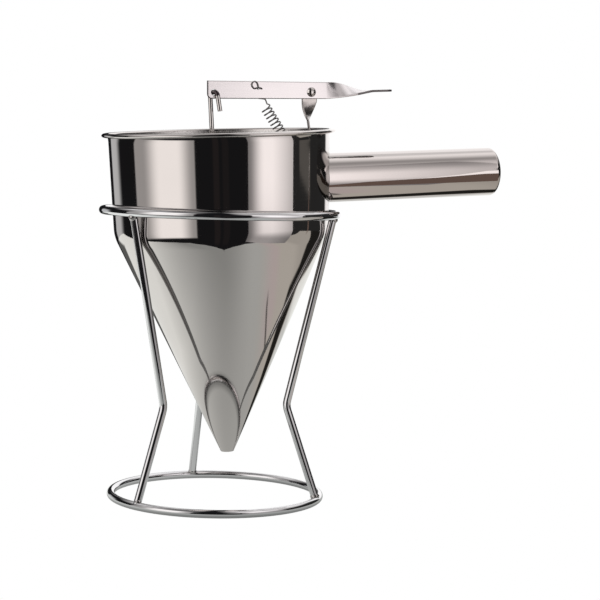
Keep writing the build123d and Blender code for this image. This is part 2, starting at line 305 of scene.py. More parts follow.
top_ring_radius = leg_line(top_ring_height) + leg_top_inset
foot_bottom = shoulder_start + bracket_foot_rise
foot_top = foot_bottom + bracket_foot_length
joggle_top = foot_top + bracket_joggle_drop
half_strip = strip_thickness / 2
bracket_along = cup_inside(joggle_top) - bracket_stand_off - half_strip
pivot_along = bracket_along + bracket_drift
plate_along = pivot_along - bracket_plate_shift
pivot_up = cup_height + pivot_rise
plate_back = strip_thickness + lever_side_gap
press_room = bracket_width / 2 * sin(lever_press)
twist_top = pivot_up - lever_drop - press_room - 2 * lever_side_gap
lower_twist_start = bracket_twist_length + bracket_untwisted_length
twist_height = lower_twist_start + bracket_lower_twist_length
twist_bottom = twist_top - twist_height
spring_anchor = joggle_top + spring_anchor_rise
pivot_point = in_hopper(pivot_along, 0, pivot_up)
lever_along = hopper_along * cos(lever_droop) - hopper_up * sin(lever_droop)
lever_up = lever_along.cross(hopper_back)
lever_place = placed(pivot_point, lever_along, hopper_back, lever_up)
hook_along = -(pivot_along + hook_offset) / cos(lever_droop)


def on_lever(along, up, back=0.0):
    """Place of a point along the lever, up from its pivot and behind its middle."""
    return lever_place @ Vector((along, back, up))


# Finishes


def feed(tree, socket, value):
    """Sets an input to a value, or links it to the output of another node."""
    if isinstance(value, bpy.types.NodeSocket):
        tree.links.new(value, socket)
    else:
        socket.default_value = value


def add_node(tree, kind, inputs=None, **settings):
    """A new node with these settings, whose inputs get a value or a link."""
    node = tree.nodes.new(kind)
    for setting, value in settings.items():
        setattr(node, setting, value)
    for name, value in (inputs or {}).items():
        feed(tree, node.inputs[name], value)
    return node


class LightPlan:
    """Small helpers that lay out light and painted shade with shader nodes."""

    def __init__(self, tree):
        self.tree = tree

    def maths(self, operation, *values):
        return add_node(self.tree, "ShaderNodeMath", dict(enumerate(values)), operation=operation).outputs[0]

    def vectors(self, operation, inputs):
        return add_node(self.tree, "ShaderNodeVectorMath", inputs, operation=operation).outputs

    def times(self, *values):
        product = values[0]
        for value in values[1:]:
            product = self.maths("MULTIPLY", product, value)
        return product

    def less(self, value, share=1.0):
        """What is left of 1 when this share of a value is taken off."""
        return self.maths("SUBTRACT", 1.0, self.times(value, share))

    def length(self, one, other):
        return self.maths("SQRT", self.maths("ADD", self.times(one, one), self.times(other, other)))

    def ramp(self, value, low, high, first=0.0, last=1.0, smooth=True):
        inputs = {"Value": value, "From Min": low, "From Max": high, "To Min": first, "To Max": last}
        kind = "SMOOTHSTEP" if smooth else "LINEAR"
        return add_node(self.tree, "ShaderNodeMapRange", inputs, interpolation_type=kind).outputs[0]

    def slope(self, value, low, high, first, last):
        return self.ramp(value, low, high, first, last, False)

    def window(self, value, low, high, soft):
        rise = self.ramp(value, low - soft, low + soft)
        fall = self.ramp(value, high - soft, high + soft, 1.0, 0.0)
        return self.times(rise, fall)

    def along(self, direction, origin=(0, 0, 0)):
        """Distance in mm from origin along a direction."""
        direction = Vector(direction)
        where = add_node(self.tree, "ShaderNodeTexCoord").outputs["Object"]
        reach = self.vectors("DOT_PRODUCT", {0: where, 1: direction / MM})["Value"]
        return self.maths("SUBTRACT", reach, direction.dot(Vector(origin)))

    def tint(self, strength, colour):
        return self.vectors("SCALE", {0: colour, "Scale": strength})[0]

    def total(self, *parts):
        whole = parts[0]
        for part in parts[1:]:
            whole = self.vectors("ADD", {0: whole, 1: part})[0]
        return whole


def steel(name, colour, roughness, wander, place, grain, ripple, smudge=0.06):
    """Bright metal whose fine grain runs along the axes of place; grain is its size in mm along them."""
    finish = bpy.data.materials.new(name)
    finish.use_nodes = True
    tree = finish.node_tree
    where = add_node(tree, "ShaderNodeTexCoord").outputs["Object"]
    lay = add_node(tree, "ShaderNodeMapping", {
        "Vector": where, "Location": place.translation * MM, "Rotation": place.to_euler(),
        "Scale": Vector(grain) * MM}, vector_type="TEXTURE")
    streaks = add_node(tree, "ShaderNodeTexNoise", {
        "Vector": lay.outputs["Vector"], "Scale": 1.0, "Detail": 5.0, "Roughness": 0.6}).outputs["Fac"]
    clouds = add_node(tree, "ShaderNodeTexNoise", {
        "Vector": where, "Scale": 22.0, "Detail": 3.0}).outputs["Fac"]
    handled = add_node(tree, "ShaderNodeMix", {"Factor": 0.5, "A": streaks, "B": clouds})
    gloss = add_node(tree, "ShaderNodeMapRange", {
        "Value": handled.outputs["Result"], "From Min": 0.3, "From Max": 0.7,
        "To Min": roughness - wander, "To Max": roughness + wander})
    smudged = [c * (1 - smudge) for c in colour]
    tone = add_node(tree, "ShaderNodeMix", {
        "Factor": clouds, "A": [*smudged, 1], "B": [*colour, 1]}, data_type="RGBA")
    relief = add_node(tree, "ShaderNodeBump", {
        "Height": streaks, "Strength": ripple, "Distance": grain_depth * MM})
    shader = tree.nodes["Principled BSDF"].inputs
    feed(tree, shader["Metallic"], 1.0)
    feed(tree, shader["Roughness"], gloss.outputs["Result"])
    feed(tree, shader["Base Color"], tone.outputs["Result"])
    feed(tree, shader["Normal"], relief.outputs["Normal"])
    return finish


def paint_root_shade(finish, place, start, reach):
    """Paints shade: dulls and darkens a finish from start to reach mm off the axis of place, ahead of its
    origin.
    """
    tree = finish.node_tree
    s = LightPlan(tree)
    aside, upward, ahead = [s.along(place.to_3x3().col[k], place.translation) for k in range(3)]
    mark = s.times(s.ramp(s.length(aside, upward), start, reach, 1.0, 0.0), s.ramp(ahead, *root_shade_along))
    shader = tree.nodes["Principled BSDF"].inputs
    gloss = shader["Roughness"].links[0].from_socket
    tone = shader["Base Color"].links[0].from_socket
    feed(tree, shader["Roughness"], s.maths("MULTIPLY_ADD", mark, root_shade_dulling, gloss))
    feed(tree, shader["Base Color"], s.tint(s.less(mark, root_shade_darkening), tone))


stand_place = Matrix.Identity(4)
bowl_steel = steel("polished_bowl_steel", (0.70, 0.665, 0.645), 0.05, 0.02, hopper_place, (60, 60, 0.9), 0.10)
handle_steel = steel("polished_handle_steel", (0.70, 0.655, 0.635), 0.055, 0.02,
                     handle_place, (0.8, 0.8, 60), 0.1)
satin_steel = steel("satin_inside_steel", (0.80, 0.78, 0.765), 0.30, 0.05, hopper_place, (60, 60, 0.9), 0.3)
lever_steel = steel("satin_lever_steel", (0.80, 0.765, 0.77), 0.22, 0.05, lever_place, (40, 0.5, 0.5), 0.5)
bracket_steel = steel("satin_bracket_steel", (0.62, 0.585, 0.565), 0.27, 0.05,
                      hopper_place, (0.5, 0.5, 40), 0.5)
rod_steel = steel("drawn_rod_steel", (0.70, 0.67, 0.65), 0.09, 0.03, hopper_place, (0.4, 0.4, 30), 0.06)
spring_steel = steel("dark_spring_wire", (0.30, 0.29, 0.285), 0.26, 0.06, lever_place, (0.5, 0.5, 0.5), 0.3)
stand_chrome = steel("chromed_stand_wire", (0.76, 0.76, 0.77), 0.05, 0.02, stand_place, (4, 4, 4), 0.02, 0.04)
fillet_steel = steel("polished_weld_steel", (0.30, 0.28, 0.27), 0.30, 0.06, handle_place, (3, 3, 3), 0.4, 0.3)
# Painted shade: the walls of the drilled holes are dark, for the shade inside them
hole_shade_steel = steel("hole_wall_painted_shade", (0.17, 0.155, 0.155), 0.35, 0.08, lever_place, (0.5, 0.5, 0.5), 0.5)
# Painted shade: a dark finish for the lever's end and edges, for the shade on them
edge_shade_steel = steel("strip_edge_painted_shade", (0.20, 0.185, 0.185), 0.38, 0.08, lever_place, (0.5, 0.5, 0.5), 0.5)
# Painted shade: a near-black finish for the hook's bend, for its shade and dark reflection
hook_shade_steel = steel("hook_bend_painted_shade", (0.10, 0.08, 0.085), 0.34, 0.08, hopper_place, (0.5, 0.5, 0.5), 0.4)
weld_steel = steel("weld_bead_steel", (0.58, 0.56, 0.55), 0.20, 0.08, stand_place, (0.9, 0.9, 0.9), 0.8, 0.25)
# Painted shade on the bowl round the handle's root
paint_root_shade(bowl_steel, handle_place, handle_radius + root_shade_start, handle_radius + root_shade_reach)

# Ways to make a piece


def finished(name, mesh, material=None, sharp=35.0):
    """A new piece with this mesh, shaded smooth except at real edges."""
    mesh.name = name
    if material is not None:
        mesh.materials.clear()
        mesh.materials.append(material)
    mesh.shade_smooth()
    mesh.set_sharp_from_angle(angle=radians(sharp))
    piece = bpy.data.objects.new(name, mesh)
    scene.collection.objects.link(piece)
    return piece


def closed_mesh(name, points, faces, material):
    """A piece from points in mm and faces that close a solid, with its faces turned outwards."""
    mesh = bpy.data.meshes.new(name)
    mesh.from_pydata([p * MM for p in points], [], faces)
    solid = bmesh.new()
    solid.from_mesh(mesh)
    bmesh.ops.recalc_face_normals(solid, faces=solid.faces)
    if solid.calc_volume(signed=True) < 0:
        bmesh.ops.reverse_faces(solid, faces=solid.faces)
    solid.to_mesh(mesh)
    solid.free()
    return finished(name, mesh, material)


def also_in(piece, finish, place, chosen):
    """Gives a second finish to the faces that are chosen by their middle and normal, as seen from place."""
    piece.data.materials.append(finish)
    turn = place.to_3x3()
    for face in piece.data.polygons:
        if chosen(place @ (face.center / MM), turn @ face.normal):
            face.material_index = 1


def run(start, end, step):
    """Points from start up to, but not at, end, about step apart."""
    start, end = Vector(start), Vector(end)
    count = max(1, round((end - start).length / step))
    return [start.lerp(end, k / count) for k in range(count)]


def arc(centre, radius, first, last, count, squeeze=1.0):
    """Points on an arc between two angles in radians; squeeze flattens it in height."""
    turns = [first + (last - first) * k / count for k in range(count + 1)]
    return [Vector((centre[0] + radius * cos(a), centre[1] + radius * squeeze * sin(a))) for a in turns]


def skin(rings, closed):
    """Faces from each ring of point numbers to the next and, if closed, from the last to the first."""
    faces = []
    for one, other in zip(rings, rings[1:] + rings[:1] if closed else rings[1:]):
        for k in range(len(one)):
            m = (k + 1) % len(one)
            corners = list(dict.fromkeys([one[k], one[m], other[m], other[k]]))
            if len(corners) > 2:
                faces.append(corners)
    return faces


def ringed(name, rings, material, closed=True):
    """A piece skinned from ring to ring of points, back to the first or with its two ends filled."""
    count = len(rings[0])
    points = [p for one in rings for p in one]
    numbers = [list(range(k * count, (k + 1) * count)) for k in range(len(rings))]
    ends = [] if closed else [numbers[0], numbers[-1]]
    return closed_mesh(name, points, skin(numbers, closed) + ends, material)


def turned(name, outline, place, material, around):
    """A solid turned about the Z axis of place, from a closed outline of radius and height."""
    points, rings = [], []
    for radius, height in outline:
        if radius < on_axis:
            rings.append([len(points)] * around)
            points.append(place @ Vector((0, 0, height)))
            continue
        rings.append(list(range(len(points), len(points) + around)))
        for k in range(around):
            a = 2 * pi * k / around
            points.append(place @ Vector((radius * cos(a), radius * sin(a), height)))
    return closed_mesh(name, points, skin(rings, True), material)


def bent_path(corners, bend_radius, step, bend_steps):
    """Points along straight runs that are joined by round bends."""
    corners = [Vector(c) for c in corners]
    path, here = [], corners[0]
    for before, corner, after in zip(corners, corners[1:], corners[2:]):
        into, out = (corner - before).normalized(), (after - corner).normalized()
        bend = acos(max(-1.0, min(1.0, into.dot(out))))
        reach = bend_radius * tan(bend / 2)
        start, end = corner - into * reach, corner + out * reach
        path += run(here, start, step)
        centre = corner + (out - into).normalized() * (bend_radius / cos(bend / 2))
        arm, side = start - centre, into * bend_radius
        path += [centre + arm * cos(bend * k / bend_steps) + side * sin(bend * k / bend_steps)
                 for k in range(bend_steps)]
        here = end
    return path + run(here, corners[-1], step) + [corners[-1]]


def strip_section(low, high, half, corner):
    """Outline of a flat strip's section with round edges, as offsets across it and off its face."""
    corner = min(corner, half * fullest_corner, (high - low) / 2 * fullest_corner)
    near = corner * support_reach
    outline = []
    for w, n, first in ((high, half, 0), (low, half, 90), (low, -half, 180), (high, -half, 270)):
        inward_w = -1 if w == high else 1
        inward_n = -1 if n == half else 1
        centre = (w + inward_w * corner, n + inward_n * corner)
        turn = radians(first)
        bend = [(p.x, p.y) for p in arc(centre, corner, turn, turn + pi / 2, strip_edge_steps)]
        along_w, along_n = (w + inward_w * near, n), (w, n + inward_n * min(near, half * support_limit))
        outline += [along_n, *bend, along_w] if first in (0, 180) else [along_w, *bend, along_n]
    return outline


def strip(name, stations, half, corner, material):
    """A flat strip through stations: centre, directions across and off the face, low, high and inset."""
    rings = []
    for centre, across, off, low, high, inset in stations:
        section = strip_section(low + inset, high - inset, half - inset, max(corner - inset, least_corner))
        rings.append([centre + across * w + off * n for w, n in section])
    return ringed(name, rings, material, False)


def end_rounding(corner):
    """Distance from a strip's end and inset of the section there, from the end inwards."""
    turns = [pi / 2 * (1 - k / strip_edge_steps) for k in range(strip_edge_steps + 1)]
    return [(corner * (1 - sin(a)), corner * (1 - cos(a))) for a in turns]


def evaluated_mesh(piece):
    """A plain mesh of what a piece's modifiers make of it."""
    view = bpy.context.evaluated_depsgraph_get()
    return bpy.data.meshes.new_from_object(piece.evaluated_get(view))


def drilled(piece, holes):
    """Cuts round holes with broken edges through a strip, their walls dark with painted shade: each is a
    place and a radius.
    """
    cutters = []
    for place, radius in holes:
        wide = radius + cutter_reach + hole_edge_break
        top = half_strip + cutter_reach
        edge = half_strip - hole_edge_break
        outline = [(0, -top), (wide, -top), (radius, -edge), (radius, edge), (wide, top), (0, top)]
        cutter = turned("hole_cutter", outline, place, hole_shade_steel, around_hole)
        cutters.append(cutter)
        cut = piece.modifiers.new("hole", "BOOLEAN")
        cut.operation = "DIFFERENCE"
        cut.solver = "EXACT"
        cut.material_mode = "TRANSFER"
        cut.object = cutter
    mesh = evaluated_mesh(piece)
    name = piece.name
    for used in [piece, *cutters]:
        bpy.data.objects.remove(used)
    return finished(name, mesh)


def growing_tree(name, sizes):
    """An empty Geometry Nodes tree with a path, a material and these named sizes as inputs."""
    tree = bpy.data.node_groups.new(name, "GeometryNodeTree")
    tree.interface.new_socket("Path", in_out="INPUT", socket_type="NodeSocketGeometry")
    for size, kind in sizes.items():
        tree.interface.new_socket(size, in_out="INPUT", socket_type=kind)
    tree.interface.new_socket("Finish", in_out="INPUT", socket_type="NodeSocketMaterial")
    tree.interface.new_socket("Piece", in_out="OUTPUT", socket_type="NodeSocketGeometry")
    given = tree.nodes.new("NodeGroupInput").outputs
    made = tree.nodes.new("NodeGroupOutput").inputs
    return tree, given, made


def closing_nodes(tree, grown_part, given, made):
    """Ends a tree: real geometry, smooth, in its finish."""
    real = add_node(tree, "GeometryNodeRealizeInstances", {"Geometry": grown_part})
    smooth = add_node(tree, "GeometryNodeSetShadeSmooth", {"Geometry": real.outputs["Geometry"]})
    dressed = add_node(tree, "GeometryNodeSetMaterial", {
        "Geometry": smooth.outputs["Geometry"], "Material": given["Finish"]})
    feed(tree, made["Piece"], dressed.outputs["Geometry"])


def wire_tree():
    """Round wire along a path of straight runs, with a bend at each corner."""
    sizes = {"Wire diameter": "NodeSocketFloat", "Bend radius": "NodeSocketFloat",
             "Bend steps": "NodeSocketInt", "Around": "NodeSocketInt"}
    tree, given, made = growing_tree("bent_wire", sizes)
    line = add_node(tree, "GeometryNodeMeshToCurve", {"Mesh": given["Path"]})
    bends = add_node(tree, "GeometryNodeFilletCurve", {
        "Curve": line.outputs["Curve"], "Radius": given["Bend radius"], "Count": given["Bend steps"],
        "Limit Radius": True}, mode="POLY")
    radius = add_node(tree, "ShaderNodeMath", {0: given["Wire diameter"], 1: 0.5}, operation="MULTIPLY")
    section = add_node(tree, "GeometryNodeCurvePrimitiveCircle", {
        "Radius": radius.outputs["Value"], "Resolution": given["Around"]})
    tube = add_node(tree, "GeometryNodeCurveToMesh", {
        "Curve": bends.outputs["Curve"], "Profile Curve": section.outputs["Curve"], "Fill Caps": True})
    closing_nodes(tree, tube.outputs["Mesh"], given, made)
    return tree


def bead_tree():
    """Lumpy weld beads, one at each point of the path, with their sizes in metres."""
    sizes = {"Bead size": "NodeSocketFloat", "Lumps": "NodeSocketFloat", "Seed": "NodeSocketInt"}
    tree, given, made = growing_tree("weld_beads", sizes)
    ball = add_node(tree, "GeometryNodeMeshIcoSphere", {
        "Radius": given["Bead size"], "Subdivisions": bead_subdivisions})
    spread = add_node(tree, "FunctionNodeRandomValue", {
        "Min": weld_bead_least, "Max": weld_bead_most, "Seed": given["Seed"]}, data_type="FLOAT_VECTOR")
    beads = add_node(tree, "GeometryNodeInstanceOnPoints", {
        "Points": given["Path"], "Instance": ball.outputs["Mesh"], "Scale": spread.outputs["Value"]})
    real = add_node(tree, "GeometryNodeRealizeInstances", {"Geometry": beads.outputs["Instances"]})
    lumps = add_node(tree, "ShaderNodeTexNoise", {"Scale": weld_lumps_per_metre, "Detail": 2.0})
    height = add_node(tree, "ShaderNodeMath", {0: lumps.outputs["Fac"], 1: 0.5}, operation="SUBTRACT")
    push = add_node(tree, "ShaderNodeMath", {
        0: height.outputs["Value"], 1: given["Lumps"]}, operation="MULTIPLY")
    outwards = add_node(tree, "GeometryNodeInputNormal")
    shift = add_node(tree, "ShaderNodeVectorMath", {
        0: outwards.outputs["Normal"], "Scale": push.outputs["Value"]}, operation="SCALE")
    moved = add_node(tree, "GeometryNodeSetPosition", {
        "Geometry": real.outputs["Geometry"], "Offset": shift.outputs["Vector"]})
    closing_nodes(tree, moved.outputs["Geometry"], given, made)
    return tree


def grown(name, tree, points, joined, finish, **sizes):
    """The piece that a tree makes on a path through points in mm; joined is closed, open or nothing."""
    links = [(k, k + 1) for k in range(len(points) - 1)] if joined else []
    if joined == "closed":
        links.append((len(points) - 1, 0))
    path = bpy.data.meshes.new(name + "_path")
    path.from_pydata([p * MM for p in points], links, [])
    holder = bpy.data.objects.new(name + "_path", path)
    scene.collection.objects.link(holder)
    grow = holder.modifiers.new("grow", "NODES")
    grow.node_group = tree
    sockets = {i.name: i.identifier for i in tree.interface.items_tree if i.in_out == "INPUT"}
    for size, value in sizes.items():
        grow[sockets[size.replace("_", " ").capitalize()]] = value
    grow[sockets["Finish"]] = finish
    mesh = evaluated_mesh(holder)
    bpy.data.objects.remove(holder)
    return finished(name, mesh)


def seat(piece, body, slot, *nodes):
    """Puts a piece on its body, in the place of these nodes; slot is not used."""
    if nodes:
        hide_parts(*nodes)
    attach(piece, body)


bent_wire = wire_tree()
weld_beads = bead_tree()


def wire(name, corners, finish, diameter, bend_radius=0.0, joined="open", around=around_wire):
    """A round wire through these corners, bent at each of them if it has a bend radius."""
    steps = wire_bend_steps if bend_radius else 1
    return grown(name, bent_wire, corners, joined, finish, wire_diameter=diameter * MM,
                 bend_radius=bend_radius * MM, bend_steps=steps, around=around)


# Stand


def upright_point(radius, heading, height):
    """A point at this distance from the stand's axis."""
    return Vector((radius * cos(heading), radius * sin(heading), height))


def ring(name, radius, height, node):
    """A closed ring of round wire."""
    corners = [upright_point(radius, 2 * pi * k / around_ring, height) for k in range(around_ring)]
    piece = wire(name, corners, stand_chrome, ring_wire, joined="closed")
    seat(piece, "stand", "stand_chrome", node)


ring("base_ring_wire", base_ring_radius, ring_wire / 2, "stand_base_ring")
ring("top_ring_wire", top_ring_radius, top_ring_height, "stand_top_ring")
weld_points = []
for number in range(leg_count):
    heading = first_leg_heading + number * 2 * pi / leg_count
    corners = [
        upright_point(base_ring_radius, heading, ring_wire / 2),
        upright_point(leg_line(knee_height), heading, knee_height),
        upright_point(leg_line(top_ring_height), heading, top_ring_height),
    ]
    leg = wire(f"leg_wire_{number + 1}", corners, stand_chrome, leg_wire, knee_bend_radius)
    seat(leg, "stand", "stand_chrome", f"stand_leg_{number + 1}")
    weld_points += [
        upright_point(base_ring_radius - foot_weld_inset, heading, ring_wire / 2 + foot_weld_rise),
        upright_point(leg_line(top_ring_height) + top_weld_offset, heading, top_ring_height - top_weld_drop),
    ]
welds = grown("stand_weld_beads", weld_beads, weld_points, "", weld_steel,
              bead_size=weld_bead_radius * MM, lumps=weld_bead_lumps * MM, seed=weld_bead_seed)
seat(welds, "stand", "stand_chrome")

# Hopper: nozzle, cone, shoulder, cup and rolled rim in one outline
rim_centre = (cup_inside(cup_height) + rim_width / 2, cup_height)
rim_squeeze = rim_thickness / rim_width
under_rim = cup_height - rim_join_drop
flared = cup_outside(under_rim) + rim_flare
rim_angle = atan2((under_rim - rim_centre[1]) / rim_squeeze, flared - rim_centre[0])
shoulder_centre = (shoulder_radius, shoulder_height)
shoulder_arc = arc(shoulder_centre, shoulder_bend_radius, -cone_half_angle, -cup_draft, shoulder_steps)
inner_bend = shoulder_bend_radius - sheet
inner_arc = arc(shoulder_centre, inner_bend, -cup_draft, -cone_half_angle, shoulder_steps)
bowl_outline = run((nozzle_radius, -cone_height), shoulder_arc[0], outline_step)
bowl_outline += shoulder_arc[:-1]
flare_start = under_rim - rim_flare_height
bowl_outline += run(shoulder_arc[-1], (cup_outside(flare_start), flare_start), outline_step)
for k in range(flare_steps):
    height = flare_start + rim_flare_height * k / flare_steps
    bowl_outline.append(Vector((cup_outside(height) + rim_flare * (k / flare_steps) ** 2, height)))
bowl_outline += arc(rim_centre, rim_width / 2, rim_angle, pi, rim_steps, rim_squeeze)[:-1]
bowl_outline += run((cup_inside(cup_height), cup_height), inner_arc[0], outline_step)
bowl_outline += inner_arc[:-1]
nozzle_edge = Vector((cone_inside(-cone_height), -cone_height))
bowl_outline += run(inner_arc[-1], nozzle_edge, outline_step)
bowl_outline.append(nozzle_edge)
bowl = turned("bowl", bowl_outline, hopper_place, bowl_steel, around_bowl)
into_hopper = hopper_place.inverted()
satin_top = cup_height - satin_margin
also_in(bowl, satin_steel, into_hopper, lambda c, n: n.x * c.x + n.y * c.y < 0 and c.z < satin_top)
seat(bowl, "funnel", "polished_steel", "hopper")

# Handle: a tube coped to the cup, with its end cap and the weld round its root


def cope(angle, radius):
    """The point where the handle's wall, at this angle and radius, meets the cup."""
    back, up = radius * sin(angle), handle_height + radius * cos(angle)
    return in_hopper(sqrt(cup_outside(up) ** 2 - back**2), back, up)


def round_handle(along, angle, radius):
    """A point on the handle's wall."""
    return in_hopper(along, radius * sin(angle), handle_height + radius * cos(angle))


handle_turns = [2 * pi * k / around_handle for k in range(around_handle)]
tube_end = handle_reach - cap_thickness
tube_rings = []
for radius in (handle_radius, handle_radius - handle_wall):
    root = [cope(a, radius) for a in handle_turns]
    end = [round_handle(tube_end, a, radius) for a in handle_turns]
    wall = [[a.lerp(b, k / tube_steps) for a, b in zip(root, end)] for k in range(tube_steps + 1)]
    tube_rings += wall if radius == handle_radius else wall[::-1]
tube = ringed("handle_tube_wall", tube_rings, handle_steel)
seat(tube, "funnel", "handle_steel", "handle_tube")

spigot_radius = handle_radius - handle_wall - cap_spigot_play
spigot_end = tube_end - cap_spigot_length
cap_flat = handle_radius - cap_edge_radius
cap_outline = [(0, spigot_end), (spigot_radius, spigot_end)]
cap_outline += [(spigot_radius, tube_end), (handle_radius, tube_end)]
cap_outline += arc((cap_flat, handle_reach - cap_edge_radius), cap_edge_radius, 0, pi / 2, cap_edge_steps)
cap_outline += run((cap_flat - cap_face_margin, handle_reach), (0, handle_reach), cap_face_step)
cap_outline.append((0, handle_reach))
cap = turned("handle_cap", cap_outline, handle_place, handle_steel, around_handle)
also_in(cap, satin_steel, handle_place.inverted(), lambda c, n: n.z > cap_face_normal)
seat(cap, "funnel", "handle_steel", "handle_end_cap")

fillet_turns = [pi / 2 * k / fillet_steps for k in range(fillet_steps + 1)]
fillet_rings = []
for a in handle_turns:
    size = 1 + root_fillet_wander * (sin(3 * a + 1) + 0.6 * sin(7 * a))
    out, along = root_fillet_out * size, root_fillet_along * size
    inner, under = handle_radius - root_fillet_sunk, -root_fillet_buried
    bend = [(handle_radius + out * (1 - sin(t)), along * (1 - cos(t))) for t in fillet_turns]
    bend += [(inner, along), (inner, under), (handle_radius + out, under)]
    fillet_rings.append([cope(a, radius) + hopper_along * off for radius, off in bend])
root_weld = ringed("handle_root_weld", fillet_rings, fillet_steel)
seat(root_weld, "funnel", "handle_steel")

# Lever


def lever_stations():
    """Sections of the lever from its left end, through the twist, to the tip of the paddle."""
    left = hook_along - lever_end_margin
    front = -hopper_back
    flat_length = lever_twist_start - left
    stations = []

    def flat(along, inset):
        reach = max(0.0, lever_end_round - (along - left))
        bite = lever_end_round - sqrt(max(0.0, lever_end_round**2 - reach**2))
        width = lever_end_width + (lever_width - lever_end_width) * (along - left) / flat_length
        stations.append((on_lever(along, -lever_drop), lever_up, front, bite, width, inset))

    for reach, inset in end_rounding(strip_edge_round):
        flat(left + reach, inset)
    for k in range(1, lever_corner_steps + 1):
        flat(left + strip_edge_round + (lever_end_round - strip_edge_round) * k / lever_corner_steps, 0.0)
    for k in range(1, lever_flat_steps):
        flat(left + lever_end_round + (flat_length - lever_end_round) * k / lever_flat_steps, 0.0)
    climb = lever_twist_rise * lever_rise_power / lever_twist_length
    for k in range(twist_steps + 1):
        share = k / twist_steps
        eased = share - lever_twist_ease * (1 - exp(-share / lever_twist_ease))
        turn = radians(90) * min(1.0, eased / (1 - lever_twist_ease))
        rise = lever_twist_rise * share**lever_rise_power
        slope = atan(climb * share ** (lever_rise_power - 1))
        upright = lever_up * cos(slope) - lever_along * sin(slope)
        across = upright * cos(turn) + hopper_back * sin(turn)
        off = front * cos(turn) + upright * sin(turn)
        edge = on_lever(lever_twist_start + lever_twist_length * share, rise - lever_drop)
        stations.append((edge, across, off, 0.0, lever_width, 0.0))
    start = lever_twist_start + lever_twist_length
    level = lever_twist_rise - lever_drop
    bend = start + paddle_bend_reach
    bend_level = level + paddle_bend_reach * climb
    tip = bend + paddle_tail_length
    bends = [(start, level), (bend, bend_level), (tip, bend_level + paddle_tail_rise)]
    path = bent_path(bends, paddle_bend_radius, paddle_step, paddle_bend_steps)[1:]
    for before, here in zip([Vector(bends[0])] + path, path):
        slope = (here - before).normalized()
        spread = (paddle_width - lever_width) / 2 * min(1.0, (here.x - start) / paddle_widen_length)
        past = max(0.0, here.x - (tip - paddle_tip_radius))
        bite = paddle_tip_radius - sqrt(max(0.0, paddle_tip_radius**2 - past**2))
        off = lever_up * slope.x - lever_along * slope.y
        low, high = bite - spread, lever_width + spread - bite
        stations.append((on_lever(here.x, here.y), hopper_back, off, low, high, 0.0))
    last = stations.pop()
    for reach, inset in end_rounding(strip_edge_round)[::-1]:
        centre = last[0] - lever_along * reach
        stations.append((centre, *last[1:5], inset))
    return stations


def gets_painted_edge_shade(centre, normal):
    """Whether a face is on the lever's left end, on its lower edge or on the front edge of its paddle, the
    faces that get painted shade.
    """
    paddle_start = lever_twist_start + lever_twist_length * paddle_edge_share
    lower_edge = normal.z < -shaded_edge_normal and centre.x < lever_twist_start
    front_edge = normal.y < -shaded_edge_normal and centre.x > paddle_start
    return normal.x < -shaded_end_normal or lower_edge or front_edge


lever = strip("lever_strip", lever_stations(), half_strip, strip_edge_round, lever_steel)
# Painted shade on the lever's left end, lower edge and paddle front edge
also_in(lever, edge_shade_steel, lever_place.inverted(), gets_painted_edge_shade)


def hole_at(point):
    """Place of a hole through the lever, with its axis along Z."""
    return placed(point, hopper_along, hopper_up, -hopper_back)


hook_hole = on_lever(hook_along, -hook_drop)
lever_hole = on_lever(-spring_arm, spring_hole_rise)
lever = drilled(lever, [(hole_at(hook_hole), hook_hole_radius),
                        (hole_at(lever_hole), spring_hole_radius),
                        (hole_at(pivot_point), rivet_radius + rivet_hole_play)])
seat(lever, "lever", "strip_steel", "lever")

# Bracket


def bracket_stations():
    """Sections of the bracket from its foot on the cup's wall up to the round end at the pivot."""
    half = bracket_width / 2

    def foot_along(height):
        return sqrt(cup_inside(height) ** 2 - half**2) - half_strip

    bends = [(foot_along(foot_bottom), foot_bottom), (foot_along(foot_top), foot_top),
             (bracket_along, joggle_top), (bracket_along, twist_bottom)]
    path = bent_path(bends, bracket_bend_radius, bracket_step, bracket_bend_steps)
    stations = []
    for here, after in zip(path, path[1:]):
        slope = (after - here).normalized()
        off = hopper_up * slope.x - hopper_along * slope.y
        stations.append((in_hopper(here.x, 0, here.y), hopper_back, off, -half, half, 0.0))
    first = stations.pop(0)
    rounding = end_rounding(strip_edge_round)
    lower_end = [(first[0] + hopper_up * reach, *first[1:5], inset) for reach, inset in rounding]
    stations = lower_end + stations
    for k in range(twist_steps + 1):
        share = 1 - k / twist_steps
        drop = twist_height * share
        upper_share = min(1, drop / bracket_twist_length)
        lower_share = max(0, (drop - lower_twist_start) / bracket_lower_twist_length)
        turn = bracket_twist * upper_share + (radians(90) - bracket_twist) * lower_share
        bow = bracket_bow * sin(pi * min(1.0, share / bracket_bow_share))
        middle = plate_along + (bracket_along - plate_along) * share - bow
        centre = in_hopper(middle, plate_back * (1 - share), twist_top - drop)
        across = hopper_along * cos(turn) + hopper_back * sin(turn)
        off = hopper_back * cos(turn) - hopper_along * sin(turn)
        stations.append((centre, across, off, -half, half, 0.0))
    for k in range(1, plate_steps + 1):
        up = twist_top + (pivot_up - twist_top) * k / plate_steps
        stations.append((in_hopper(plate_along, plate_back, up), hopper_along, hopper_back, -half, half, 0.0))
    for k in range(1, round_end_steps):
        up = half * sin(pi / 2 * k / round_end_steps)
        reach = sqrt(half**2 - up**2)
        centre = in_hopper(plate_along, plate_back, pivot_up + up)
        stations.append((centre, hopper_along, hopper_back, -reach, reach, 0.0))
    return stations


bracket = strip("bracket_strip", bracket_stations(), half_strip, strip_edge_round, bracket_steel)
bracket_hole = in_hopper(bracket_along, 0, spring_anchor)
through_bracket = placed(bracket_hole, hopper_back, hopper_up, hopper_along)
bracket = drilled(bracket, [(through_bracket, spring_hole_radius)])
seat(bracket, "funnel", "strip_steel", "lever_bracket")

